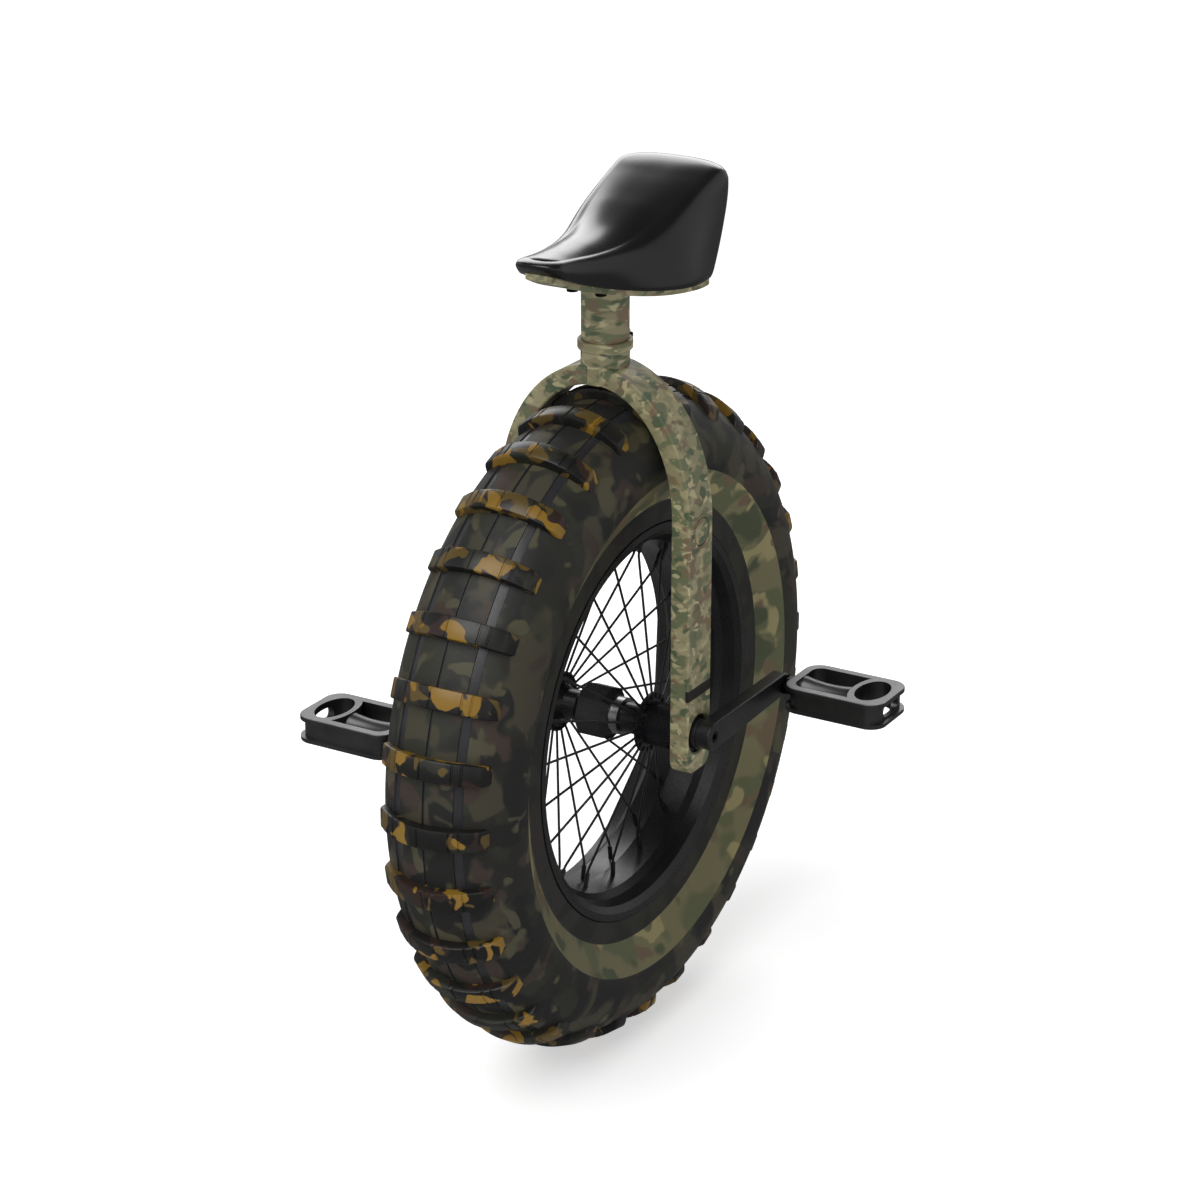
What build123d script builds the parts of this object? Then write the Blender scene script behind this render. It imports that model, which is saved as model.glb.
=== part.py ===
from build123d import *
from math import acos, asin, cos, degrees, radians, sin
import os

os.makedirs("parts", exist_ok=True)

# A unicycle: balloon tyre, two-legged flat-bar fork, short seatpost and a banana saddle.
# The origin is on the ground under the axle, +X is forward (the saddle's nose), +Y is the
# rider's left and +Z is up. Every size is in millimetres.

# ---- wheel ----
tyre_r = 305.0  # over the lugs
lug_height = 9.5
lug_count = 32
lug_width = 19.0  # round the tread
lug_reach = 46.0  # half the length across the tread, along the lug's top
lug_overhang = 5.0  # how much further out its foot is
lug_flare = 3.0  # how far the lug stands proud of the shoulder sideways
carcass_half_width = 63.5
carcass_centre_r = 243.0  # where the tyre is widest
band_outer_r = 231.0  # sidewall band: a cone between two creases
band_inner_r = 203.0
band_inner_half = 45.0
sidewall = 6.0
tread_wall = 8.0
channel_width = 8.0  # two shallow channels round the tread
channel_depth = 1.2
channel_angle = 28.0  # from the crown, about the tyre's section centre
seam_width = 2.0

rim_half_width = 45.0
rim_edge_r = 182.0
rim_wall = 3.0
rim_well_r = 158.5  # the face towards the axle, at the middle
spokes_per_side = 20
spoke_r = 1.15
spoke_rim_offset = 8.5
nipple_r = 2.1
nipple_length = 12.0
valve_r = 3.85
valve_angle = 4.5  # ahead of the wheel, between two spoke holes
valve_reach = 38.0  # from the rim towards the axle

flange_r = 27.5
flange_offset = 47.0
flange_thickness = 3.0
spoke_circle_r = 24.5
barrel_r = 19.5
barrel_end = 76.0
hub_tube_r = 14.0
sleeve_r = 25.0  # faceted bulge, across its corners
sleeve_from, sleeve_to = -22.0, 12.0
spindle_r = 8.5
spindle_square = 12.0

# ---- bearings in the fork feet: 35 x 17 x 10 deep-groove ----
bearing_r = 17.5
bearing_width = 10.0
bearing_inner_face = 81.5
ball_count = 9
ball_r = 2.38

# ---- fork ----
leg_outer = 96.0
leg_inner = 77.5
leg_width = 41.0
foot_drop = 35.0  # below the axle
foot_corner_r = 13.0
leg_edge = 1.2
crown_clear = 6.0  # from the lugs to the underside of the crown
crown_thickness = 17.5
arch_outer_rise = 131.5  # how far each edge of a leg climbs as it sweeps in to the crown
arch_inner_rise = 108.0
arch_inner_spring = tyre_r + crown_clear - arch_inner_rise  # above the axle
arch_outer_spring = tyre_r + crown_clear + crown_thickness - arch_outer_rise
neck_r = 21.3
neck_wall = 3.0
neck_height = 36.0  # from the underside of the crown
neck_top = tyre_r + crown_clear + neck_height  # above the axle
plug_r = 15.0
plug_height = 189.5  # above the axle
strip_height = 10.5
strip_bottom = 36.0  # above the axle
inlay_depth = 3.0

# ---- seat ----
clamp_r = 24.1
clamp_height = 8.5
clamp_overlap = 7.0  # how much of it grips the neck; the rest covers the joint with the post
post_r = 20.9
post_wall = 3.0
post_insert = 30.0
post_show = 45.0  # from the neck's top to the flat rear part of the saddle's underside
saddle_floor = neck_top + post_show  # above the axle
saddle_rise_from = -60.0  # x where the underside starts to curve up
saddle_rise_rate = 0.0013
plate_thickness = 5.0
plate_inset = 7.0
cover_thickness = 2.0
pan_thickness = 6.0
saddle_bolt_x, saddle_bolt_y = 31.0, 14.0

# ---- cranks and pedals ----
crank_length = 135.0
crank_angle = 0.8  # the left crank points back and this far up
crank_clear = 3.0  # from the leg's outer face
crank_thickness = 13.0
crank_boss_r = 14.0
crank_root_r = 12.5
crank_tip_r = 10.0
crank_edge = 1.2
pedal_clear = 11.0  # from the crank's outer face to the pedal's inner end
pedal_length = 99.0
pedal_depth = 66.0  # fore and aft
pedal_height = 24.0
pedal_corner_r = 16.0
pedal_plate = 4.0
pedal_groove = 4.0  # how far the wall sits in from the plates
pedal_thread_r = 7.1
pedal_shaft_r = 6.0
bush_r = 8.5
pedal_edge = 0.8
barrel_end_r, barrel_waist_r = 11.4, 8.8
bridge_at, bridge = 60.0, 5.0  # from the pedal's inner end, and its thickness
window_x, window_y = 14.5, 24.0  # half sizes of the window outboard of the bridge
window_centre = pedal_length - 22.0
end_slot = (30.0, 12.0)
inner_bush, outer_bush = (0.5, 11.0), (44.0, 54.0)  # from the pedal's inner end

crank_inner = leg_outer + crank_clear
crank_outer = crank_inner + crank_thickness
pedal_inner = crank_outer + pedal_clear

# ---- fits ----
running = 0.05  # radial clearance of a turning or sliding fit
clear = 0.25  # radial clearance of a bolt or spoke in its hole
gap = 0.3  # between neighbours that don't touch

axle = Vector(0, 0, tyre_r)
wheel_axis = Axis(axle, (0, 1, 0))
axle_z = tyre_r
sides = {"left": 1, "right": -1}


def save(builder, name):
    """Label the finished piece and write it as its own file."""
    builder.part.label = name
    export_step(builder.part, f"parts/{name}.step")


def section(side=1, angle=90.0, origin=axle):
    """Plane through the wheel axis: local x is lateral, outward on that side, local y is radial.

    angle is the radial direction's, up from straight ahead.
    """
    radial = Vector(cos(radians(angle)), 0, sin(radians(angle)))
    lateral = Vector(0, side, 0)
    return Plane(origin=origin, x_dir=lateral, z_dir=lateral.cross(radial))


def radial_plane(angle, lateral, radius):
    """Plane facing outwards from the axle at an angle up from straight ahead."""
    radial = Vector(cos(radians(angle)), 0, sin(radians(angle)))
    origin = axle + radial * radius + Vector(0, lateral, 0)
    return Plane(origin=origin, x_dir=(0, 1, 0), z_dir=radial)


def facing_out(side, lateral, origin=axle):
    """Plane square to the wheel axis, facing outwards on that side, with local y upwards."""
    centre = Vector(origin.X, side * lateral, origin.Z)
    return Plane(origin=centre, x_dir=(-side, 0, 0), z_dir=(0, side, 0))


def ring_profile(inner, outer, start, end):
    """Rectangle in a section plane, between two radii and two lateral places."""
    with Locations(((start + end) / 2, (inner + outer) / 2)):
        Rectangle(end - start, outer - inner)


# ================= tyre =================
carcass_r = tyre_r - lug_height
carcass_rise = carcass_r - carcass_centre_r
cavity_half = carcass_half_width - sidewall
cavity_rise = carcass_rise - tread_wall
bead_r = 173.0
bead_inner = 34.0


def ellipse_lateral(radius, half_width, rise):
    """Half width of the tyre's elliptical section at a radius from the axle."""
    return half_width * cos(asin((radius - carcass_centre_r) / rise))


def tread_grooves(mode):
    """Centre seam and the two channels, as rectangles that straddle the tread's surface."""
    with Locations((0, carcass_r)):
        Rectangle(seam_width, 2 * channel_depth, mode=mode)
    for turn in (channel_angle, -channel_angle):
        lateral = carcass_half_width * sin(radians(turn))
        radius = carcass_centre_r + carcass_rise * cos(radians(turn))
        with Locations(Location((lateral, radius), -turn)):
            Rectangle(channel_width, 2 * channel_depth, mode=mode)


with BuildPart() as tyre:
    with BuildSketch(section()):
        with BuildLine():
            crown = EllipticalCenterArc(
                (0, carcass_centre_r), carcass_half_width, carcass_rise,
                degrees(asin((band_outer_r - carcass_centre_r) / carcass_rise)),
                arc_size=90 - degrees(asin((band_outer_r - carcass_centre_r) / carcass_rise)),
            )
            Polyline(
                crown @ 0,
                (band_inner_half, band_inner_r),
                (rim_half_width - 0.5, rim_edge_r + gap),
                (rim_half_width - rim_wall - gap, rim_edge_r + gap),
                (rim_half_width - rim_wall - gap, bead_r + 4.4),
                (rim_half_width - rim_wall - 3.6, bead_r),
                (bead_inner, bead_r),
                (bead_inner + 2, rim_edge_r),
                (band_inner_half - sidewall, band_inner_r - 1),
                (ellipse_lateral(band_outer_r + 1, cavity_half, cavity_rise), band_outer_r + 1),
            )
            cavity = EllipticalCenterArc(
                (0, carcass_centre_r), cavity_half, cavity_rise,
                degrees(asin((band_outer_r + 1 - carcass_centre_r) / cavity_rise)),
                arc_size=90 - degrees(asin((band_outer_r + 1 - carcass_centre_r) / cavity_rise)),
            )
            Line(cavity @ 1, crown @ 1)
        make_face()
        mirror(about=Plane.YZ)
        tread_grooves(Mode.SUBTRACT)
    revolve(axis=wheel_axis)
save(tyre, "tyre")

# One lug is a slice of a ring on the carcass; its underside fills the grooves.
lug_arc = degrees(lug_width / tyre_r)
lug_top_half = carcass_half_width + lug_flare
lug_top_rise = tyre_r - carcass_centre_r
lug_end = degrees(acos(lug_reach / lug_top_half))
lug_foot = degrees(acos((lug_reach + lug_overhang) / carcass_half_width))
with BuildPart() as tread_lugs:
    with BuildSketch(section(angle=-lug_arc / 2)):
        with BuildLine():
            top = EllipticalCenterArc(
                (0, carcass_centre_r), lug_top_half, lug_top_rise, lug_end, arc_size=90 - lug_end
            )
            foot = EllipticalCenterArc(
                (0, carcass_centre_r), carcass_half_width, carcass_rise,
                lug_foot, arc_size=90 - lug_foot,
            )
            shoulder = foot @ 0 + (top @ 0 - foot @ 0) * 0.6 + Vector(2, 0)
            Polyline(top @ 0, shoulder, foot @ 0)
            Line(foot @ 1, top @ 1)
        make_face()
        mirror(about=Plane.YZ)
        tread_grooves(Mode.ADD)
    revolve(axis=wheel_axis, revolution_arc=-lug_arc)
    first_lug = tread_lugs.part
    for i in range(1, lug_count):
        add(first_lug.rotate(wheel_axis, i * 360 / lug_count))
save(tread_lugs, "tread_lugs")

# ================= inner tube and rim =================
tape_r = 165.6
tape_half = 24.0
tube_wall = 1.5


def tube_half(inset):
    """Half of the inner tube's section: it fills the tyre's cavity down to the tape."""
    half, rise = cavity_half - inset, cavity_rise - inset
    start = degrees(asin((band_outer_r + 1 - carcass_centre_r) / rise))
    with BuildSketch() as outline:
        with BuildLine():
            outer = EllipticalCenterArc(
                (0, carcass_centre_r), half, rise, start, arc_size=90 - start
            )
            Polyline(
                outer @ 0,
                (band_inner_half - sidewall - inset - 0.7, band_inner_r),
                (bead_inner - inset - 0.2, rim_edge_r),
                (bead_inner - inset - 0.2, bead_r + inset + 1),
                (tape_half - inset, tape_r + 1 + inset),
                (0, tape_r + 1 + inset),
                outer @ 1,
            )
        make_face()
    return outline.sketch


with BuildPart() as inner_tube:
    with BuildSketch(section()):
        add(tube_half(gap))
        add(tube_half(gap + tube_wall), mode=Mode.SUBTRACT)
        mirror(about=Plane.YZ)
    revolve(axis=wheel_axis)
save(inner_tube, "inner_tube")

spoke_pitch = 360 / spokes_per_side
phase = {"left": 0.0, "right": spoke_pitch / 2}
with BuildPart() as rim:
    with BuildSketch(section()):
        with BuildLine():
            Polyline(
                (0, rim_well_r),
                (24, rim_well_r + 2.5),
                (30, rim_well_r + 7.5),
                (41, rim_well_r + 11),
                (rim_half_width, rim_well_r + 17),
                (rim_half_width, rim_edge_r),
                (rim_half_width - rim_wall, rim_edge_r),
                (rim_half_width - rim_wall, bead_r + 3.6),
                (rim_half_width - rim_wall - 3, bead_r - 0.4),
                (28.6, rim_well_r + 10.6),
                (22.8, rim_well_r + 5.7),
                (0, rim_well_r + rim_wall + 0.3),
                (0, rim_well_r),
            )
        make_face()
        mirror(about=Plane.YZ)
    revolve(axis=wheel_axis)
    for name, side in sides.items():
        for i in range(spokes_per_side):
            angle = phase[name] + i * spoke_pitch
            with BuildSketch(radial_plane(angle, side * spoke_rim_offset, rim_well_r - 2)):
                Circle(nipple_r + clear)
            extrude(amount=10, mode=Mode.SUBTRACT)
    with BuildSketch(radial_plane(valve_angle, 0, rim_well_r - 2)):
        Circle(valve_r + clear)
    extrude(amount=10, mode=Mode.SUBTRACT)
save(rim, "rim")

with BuildPart() as rim_tape:
    with BuildSketch(section()):
        ring_profile(tape_r, tape_r + 0.8, -tape_half, tape_half)
    revolve(axis=wheel_axis)
    with BuildSketch(radial_plane(valve_angle, 0, tape_r - 2)):
        Circle(valve_r + clear)
    extrude(amount=5, mode=Mode.SUBTRACT)
save(rim_tape, "rim_tape")

# The valve's rubber-coated stem stands on the tube and passes through the tape and the rim.
valve_foot = tape_r + 1.0
valve_tip = rim_well_r - valve_reach
with BuildPart() as valve_stem:
    with BuildSketch(radial_plane(valve_angle, 0, valve_tip)):
        Circle(valve_r)
    extrude(amount=valve_foot - valve_tip)
    with BuildSketch(radial_plane(valve_angle, 0, valve_tip - 8)):
        Circle(2.6)
    extrude(amount=8)
save(valve_stem, "valve_stem")

with BuildPart() as valve_nut:
    with BuildSketch(radial_plane(valve_angle, 0, rim_well_r - 3.5)):
        RegularPolygon(6.5, 6)
        Circle(valve_r + running, mode=Mode.SUBTRACT)
    extrude(amount=3.3)
save(valve_nut, "valve_nut")

with BuildPart() as valve_cap:
    with BuildSketch(radial_plane(valve_angle, 0, valve_tip - 10)):
        Circle(valve_r)
    extrude(amount=9.5)
    with BuildSketch(radial_plane(valve_angle, 0, valve_tip - 8)):
        Circle(2.6 + running)
    extrude(amount=8, mode=Mode.SUBTRACT)
save(valve_cap, "valve_cap")

# ================= spokes and nipples =================
nipple_top = rim_well_r + rim_wall + 1.6  # head's underside, just clear of the rim's outer face
spoke_head_r = 2.1
flange_out = flange_offset + flange_thickness / 2
bend_room = 2.5  # from the nipple to the spoke's slight bend
elbow_lateral = flange_offset - flange_thickness / 2 - 1.6
for name, side in sides.items():
    with BuildPart() as spokes:
        plane = section(side, phase[name])
        with BuildLine(plane) as run:
            FilletPolyline(
                (flange_out + 1, spoke_circle_r),
                (elbow_lateral, spoke_circle_r),
                (spoke_rim_offset, rim_well_r - nipple_length - bend_room),
                (spoke_rim_offset, rim_well_r + 3),
                radius=(2.5, 14),
            )
        with BuildSketch(Plane(origin=run.line @ 0, z_dir=run.line % 0)):
            Circle(spoke_r)
        sweep(path=run.line)
        with BuildSketch(facing_out(side, flange_out + gap, axle)):
            with PolarLocations(spoke_circle_r, 1, 90 + side * (90 - phase[name])):
                Circle(spoke_head_r)
        extrude(amount=1.2)
        first_spoke = spokes.part
        for i in range(1, spokes_per_side):
            add(first_spoke.rotate(wheel_axis, -i * spoke_pitch))
    save(spokes, f"spokes_{name}")

    with BuildPart() as nipples:
        root = radial_plane(phase[name], side * spoke_rim_offset, rim_well_r - nipple_length)
        with BuildSketch(root):
            Circle(nipple_r)
        extrude(amount=nipple_length + rim_wall + 2.5)
        with BuildSketch(root.offset(nipple_top - rim_well_r + nipple_length)):
            Circle(nipple_r + 1)
        extrude(amount=1.6)
        with BuildSketch(root):
            Circle(spoke_r + running)
        extrude(amount=nipple_length + 10, mode=Mode.SUBTRACT)
        first_nipple = nipples.part
        for i in range(1, spokes_per_side):
            add(first_nipple.rotate(wheel_axis, -i * spoke_pitch))
    save(nipples, f"nipples_{name}")

# ================= hub and spindle =================
hub_shoulder = flange_offset - flange_thickness / 2
with BuildPart() as hub_shell:
    with BuildSketch(section()):
        ring_profile(spindle_r, hub_tube_r, -hub_shoulder, hub_shoulder)
        for start in (hub_shoulder, -flange_out):
            ring_profile(spindle_r, flange_r, start, start + flange_thickness)
        for start in (flange_out, -barrel_end):
            ring_profile(spindle_r, barrel_r, start, start + barrel_end - flange_out)
        # a short cone stiffens each flange on the inner side
        for side in sides.values():
            with BuildLine():
                Polyline(
                    (side * hub_shoulder, hub_tube_r),
                    (side * hub_shoulder, hub_tube_r + 5),
                    (side * (hub_shoulder - 8), hub_tube_r),
                    (side * hub_shoulder, hub_tube_r),
                )
            make_face()
    revolve(axis=wheel_axis)
    chamfer(hub_shell.edges().filter_by(GeomType.CIRCLE).group_by(Axis.Y)[-1], 1)
    chamfer(hub_shell.edges().filter_by(GeomType.CIRCLE).group_by(Axis.Y)[0], 1)
    for name, side in sides.items():
        with BuildSketch(facing_out(side, hub_shoulder - 2)):
            with Locations(Location((0, 0), side * phase[name])):
                with PolarLocations(spoke_circle_r, spokes_per_side):
                    Circle(spoke_r + clear)
        extrude(amount=flange_thickness + 4, mode=Mode.SUBTRACT)
save(hub_shell, "hub_shell")

# The faceted bulge between the flanges is a clamp-on sleeve, with a plain ring beside it.
with BuildPart() as hub_sleeve:
    with BuildSketch(facing_out(1, sleeve_from)):
        RegularPolygon(sleeve_r, 8)
        Circle(hub_tube_r, mode=Mode.SUBTRACT)
    extrude(amount=sleeve_to - sleeve_from)
    ends = hub_sleeve.edges().filter_by(GeomType.LINE)
    chamfer(ends.group_by(Axis.Y)[0] + ends.group_by(Axis.Y)[-1], 5)
save(hub_sleeve, "hub_sleeve")

with BuildPart() as hub_ring:
    with BuildSketch(section()):
        ring_profile(hub_tube_r, hub_tube_r + 3, sleeve_to, sleeve_to + 9)
    revolve(axis=wheel_axis)
save(hub_ring, "hub_ring")

bearing_outer_face = bearing_inner_face + bearing_width
bolt_r = 3.0
with BuildPart() as spindle:
    with BuildSketch(section()):
        ring_profile(0, spindle_r, -bearing_outer_face, bearing_outer_face)
    revolve(axis=wheel_axis)
    square_end = crank_inner + crank_thickness / 2
    for side in sides.values():
        with BuildSketch(facing_out(side, bearing_outer_face)):
            Rectangle(spindle_square, spindle_square)
        extrude(amount=square_end - bearing_outer_face)
        with BuildSketch(facing_out(side, square_end)):
            Circle(bolt_r)
        extrude(amount=-26, mode=Mode.SUBTRACT)
save(spindle, "spindle")

# ================= bearings =================
race_r = (spindle_r + bearing_r) / 2
race_split = 1.6  # from the ball circle to each ring's shoulder
bearing_middle = bearing_inner_face + bearing_width / 2
for name, side in sides.items():
    middle = axle + Vector(0, side * bearing_middle, 0)
    with BuildPart() as race:
        with BuildSketch(section(side)):
            ring_profile(race_r + race_split, bearing_r, bearing_inner_face, bearing_outer_face)
            with Locations((bearing_middle, race_r)):
                Circle(ball_r + running, mode=Mode.SUBTRACT)
        revolve(axis=wheel_axis)
    save(race, f"bearing_outer_{name}")

    with BuildPart() as race:
        with BuildSketch(section(side)):
            ring_profile(spindle_r, race_r - race_split, bearing_inner_face, bearing_outer_face)
            with Locations((bearing_middle, race_r)):
                Circle(ball_r + running, mode=Mode.SUBTRACT)
        revolve(axis=wheel_axis)
    save(race, f"bearing_inner_{name}")

    with BuildPart() as balls:
        for i in range(ball_count):
            with Locations(radial_plane(i * 360 / ball_count, side * bearing_middle, race_r)):
                Sphere(ball_r)
    save(balls, f"bearing_balls_{name}")

    # The snap cage is a crown: a ring beside the balls with a pocket for each of them.
    with BuildPart() as cage:
        with BuildSketch(section(side)):
            ring_profile(race_r - 1.1, race_r + 1.1, bearing_middle, bearing_middle + 3.9)
        revolve(axis=wheel_axis)
        for i in range(ball_count):
            pocket = radial_plane(i * 360 / ball_count, side * bearing_middle, 0)
            with BuildSketch(pocket):
                Circle(ball_r + 0.15)
            extrude(amount=bearing_r, mode=Mode.SUBTRACT)
    save(cage, f"bearing_cage_{name}")

    with BuildPart() as circlip:
        with BuildSketch(facing_out(side, bearing_outer_face + 0.1)):
            Circle(bearing_r + 0.9)
            Circle(bearing_r - 2.2, mode=Mode.SUBTRACT)
            with Locations((0, -bearing_r)):
                Rectangle(7, 7, mode=Mode.SUBTRACT)
        extrude(amount=1.2)
    save(circlip, f"bearing_circlip_{name}")

    with BuildPart() as spacer:
        with BuildSketch(section(side)):
            ring_profile(spindle_r, spindle_r + 2.5, barrel_end, bearing_inner_face)
        revolve(axis=wheel_axis)
    save(spacer, f"hub_spacer_{name}")

# ================= fork =================
neck_bottom = axle_z + arch_inner_spring + arch_inner_rise
neck_bore = neck_r - neck_wall
neck_end = axle_z + neck_top
for name, side in sides.items():
    with BuildPart() as leg:
        with BuildSketch(section(side)):
            with BuildLine():
                sweep_out = EllipticalCenterArc(
                    (0, arch_outer_spring), leg_outer, arch_outer_rise, 0, arc_size=90
                )
                sweep_in = EllipticalCenterArc(
                    (0, arch_inner_spring), leg_inner, arch_inner_rise, 0, arc_size=90
                )
                Line(sweep_out @ 1, sweep_in @ 1)
                Polyline(
                    sweep_out @ 0, (leg_outer, -foot_drop), (leg_inner, -foot_drop), sweep_in @ 0
                )
            make_face()
        extrude(amount=leg_width / 2, both=True)
        feet = leg.edges().filter_by(Axis.Y).group_by(Axis.Z)[0]
        fillet(feet, foot_corner_r)
        chamfer(leg.edges().filter_by(GeomType.ELLIPSE) + leg.edges().filter_by(Axis.Z), leg_edge)
        with BuildSketch(Plane.XY.offset(neck_bottom - 5)):
            Circle(neck_r)
        extrude(amount=60, mode=Mode.SUBTRACT)
        # seat for the bearing, a lip behind it, the circlip's groove and a bevelled mouth
        with BuildSketch(section(side)):
            ring_profile(0, bearing_r, bearing_inner_face, leg_outer + 1)
            ring_profile(0, bearing_r - 2.5, leg_inner - 1, bearing_inner_face)
            ring_profile(0, bearing_r + 1, bearing_outer_face + 0.1, bearing_outer_face + 1.4)
            with BuildLine():
                Polyline(
                    (leg_outer - 1.5, bearing_r), (leg_outer, bearing_r + 1.5),
                    (leg_outer + 1, bearing_r + 1.5), (leg_outer + 1, bearing_r - 1),
                    (leg_outer - 1.5, bearing_r - 1), (leg_outer - 1.5, bearing_r),
                )
            make_face()
        revolve(axis=wheel_axis, mode=Mode.SUBTRACT)
        with BuildSketch(facing_out(side, leg_outer - inlay_depth)):
            with Locations((0, strip_bottom + strip_height / 2)):
                Rectangle(leg_width + 2, strip_height)
            with Locations((0, plug_height)):
                Circle(plug_r)
        extrude(amount=inlay_depth + 1, mode=Mode.SUBTRACT)
    save(leg, f"fork_leg_{name}")

    with BuildPart() as strip:
        with BuildSketch(facing_out(side, leg_outer - inlay_depth)):
            with Locations((0, strip_bottom + strip_height / 2)):
                Rectangle(leg_width - 1, strip_height)
        extrude(amount=inlay_depth - 0.4)
    save(strip, f"leg_strip_{name}")

    with BuildPart() as plug:
        with BuildSketch(facing_out(side, leg_outer - inlay_depth)):
            with Locations((0, plug_height)):
                Circle(plug_r)
        extrude(amount=inlay_depth + 0.4)
        with BuildSketch(facing_out(side, leg_outer - 0.8)):
            with Locations((0, plug_height)):
                Circle(plug_r - 2)
                Circle(plug_r - 3.2, mode=Mode.SUBTRACT)
        extrude(amount=2, mode=Mode.SUBTRACT)
    save(plug, f"leg_plug_{name}")

slit = 3.0
with BuildPart() as neck_tube:
    with BuildSketch(Plane.XY.offset(neck_bottom)):
        Circle(neck_r)
    extrude(amount=neck_end - neck_bottom)
    with BuildSketch(Plane.XY.offset(neck_end)):
        Circle(neck_bore)
    extrude(amount=-(post_insert + 2), mode=Mode.SUBTRACT)
    with BuildSketch(Plane.XY.offset(neck_end)):
        with Locations((-neck_r, 0)):
            Rectangle(neck_r, slit)
    extrude(amount=-(clamp_height + 12), mode=Mode.SUBTRACT)
save(neck_tube, "neck_tube")

# ================= seat clamp =================
clamp_base = axle_z + neck_top - clamp_overlap
clamp_middle = clamp_base + clamp_height / 2
ear_reach = 10.5  # from the ring's face back
ear_half = 6.0
clamp_bolt_x = -(clamp_r + 5)
clamp_bolt_r = 2.0
clamp_edge = 1.2
with BuildPart() as seat_clamp:
    with BuildSketch(Plane.XY.offset(clamp_base)):
        Circle(clamp_r)
        with Locations((-(clamp_r + ear_reach / 2 - 1.5), 0)):
            RectangleRounded(ear_reach + 3, 2 * ear_half, 2)
        Circle(neck_r + running, mode=Mode.SUBTRACT)
        with Locations((-clamp_r, 0)):
            Rectangle(30, slit, mode=Mode.SUBTRACT)
    extrude(amount=clamp_height)
    rim_edges = seat_clamp.edges().filter_by(GeomType.CIRCLE)
    fillet(rim_edges.filter_by(lambda edge: edge.radius > clamp_r - 0.1), clamp_edge)
    with BuildSketch(Plane((clamp_bolt_x, 0, clamp_middle), z_dir=(0, 1, 0))):
        Circle(clamp_bolt_r)
    extrude(amount=20, both=True, mode=Mode.SUBTRACT)
save(seat_clamp, "seat_clamp")

with BuildPart() as clamp_bolt:
    with BuildSketch(Plane((clamp_bolt_x, -ear_half - 3.6, clamp_middle), z_dir=(0, 1, 0))):
        Circle(clamp_bolt_r)
    extrude(amount=2 * ear_half + 6.6)
    with BuildSketch(Plane((clamp_bolt_x, ear_half, clamp_middle), z_dir=(0, 1, 0))):
        Circle(3.5)
    extrude(amount=3)
    with BuildSketch(Plane((clamp_bolt_x, ear_half + 3, clamp_middle), z_dir=(0, 1, 0))):
        RegularPolygon(1.7, 6)
    extrude(amount=-2, mode=Mode.SUBTRACT)
save(clamp_bolt, "clamp_bolt")

with BuildPart() as clamp_nut:
    with BuildSketch(Plane((clamp_bolt_x, -ear_half, clamp_middle), z_dir=(0, -1, 0))):
        RegularPolygon(4, 6)
        Circle(clamp_bolt_r + running, mode=Mode.SUBTRACT)
    extrude(amount=3)
save(clamp_nut, "clamp_nut")

# ================= seat =================
saddle_rear = -92.0  # where the underside ends; the rear panel leans out above it
saddle_nose = 118.0  # where the nose starts to round
saddle_tip = 129.0
saddle_back = -150.0  # rear of the plan outline, before the side view cuts it
# the plan's half widths at its rear corners and then at each station, at the floor and at the top
saddle_stations = [-80, -35, 0, 45, 80, saddle_nose]
floor_half_widths = [52, 63, 65, 54, 33, 24, 16]
top_half_widths = [48, 54, 52, 39, 24, 19, 14]
saddle_height = 98.0  # above the floor, clear over the top
body_reach = 80.0  # half width of the slabs that the saddle's views are cut from


def underside(x, drop=0.0):
    """Height of the saddle's underside: flat at the rear, then a parabola up to the nose."""
    rise = max(0.0, x - saddle_rise_from) ** 2 * saddle_rise_rate
    return axle_z + saddle_floor + rise - drop


def underside_curve(start, end, drop=0.0):
    """The underside from one x to another: a flat run, then the parabola as one Bezier curve."""
    if start < saddle_rise_from:
        Line((start, underside(start, drop)), (saddle_rise_from, underside(start, drop)))
        start = saddle_rise_from
    slope = 2 * saddle_rise_rate * (start - saddle_rise_from)
    middle = (start + end) / 2
    Bezier(
        (start, underside(start, drop)),
        (middle, underside(start, drop) + slope * (middle - start)),
        (end, underside(end, drop)),
    )


def side_profile(inset):
    """The saddle seen from the side: dished top, rounded rear panel, thin nose."""
    floor = axle_z + saddle_floor
    top = floor - inset
    nose, rear = saddle_nose - inset, saddle_rear + inset
    top_front = (nose + 1, top + 51)
    top_rear = (-116, top + 92)
    shoulder = (-137 + inset, top + 77)
    with BuildSketch() as profile:
        with BuildLine():
            underside_curve(rear, nose, -inset)
            ThreePointArc((nose, underside(nose, -inset)), (saddle_tip - inset, floor + 46), top_front)
            Spline(top_front, (84, top + 49), (52, top + 51), (8, top + 62), (-40, top + 75), top_rear)
            ThreePointArc(top_rear, (-129 + inset, top + 88), shoulder)
            Spline(
                shoulder, (-131 + inset, floor + 56), (-114 + inset, floor + 28),
                (rear, underside(saddle_rear, -inset)),
            )
        make_face()
    return profile.sketch


def plan_outline(inset, rear, half_widths=floor_half_widths):
    """The saddle seen from above: wide rear, waisted flanks, slim round nose."""
    upper = [(x, y - inset) for x, y in zip([rear + 8] + saddle_stations, half_widths)]
    lower = [(x, -y) for x, y in upper]
    with BuildSketch() as outline:
        with BuildLine():
            ThreePointArc(upper[0], (rear + inset, 0), lower[0])
            Spline(*upper)
            Spline(*lower)
            ThreePointArc(upper[-1], (saddle_tip - inset, 0), lower[-1])
        make_face()
    return outline.sketch


saddle_low = axle_z + saddle_floor - plate_thickness
side_view = Plane(origin=(0, 0, 0), x_dir=(1, 0, 0), z_dir=(0, -1, 0))


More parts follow.
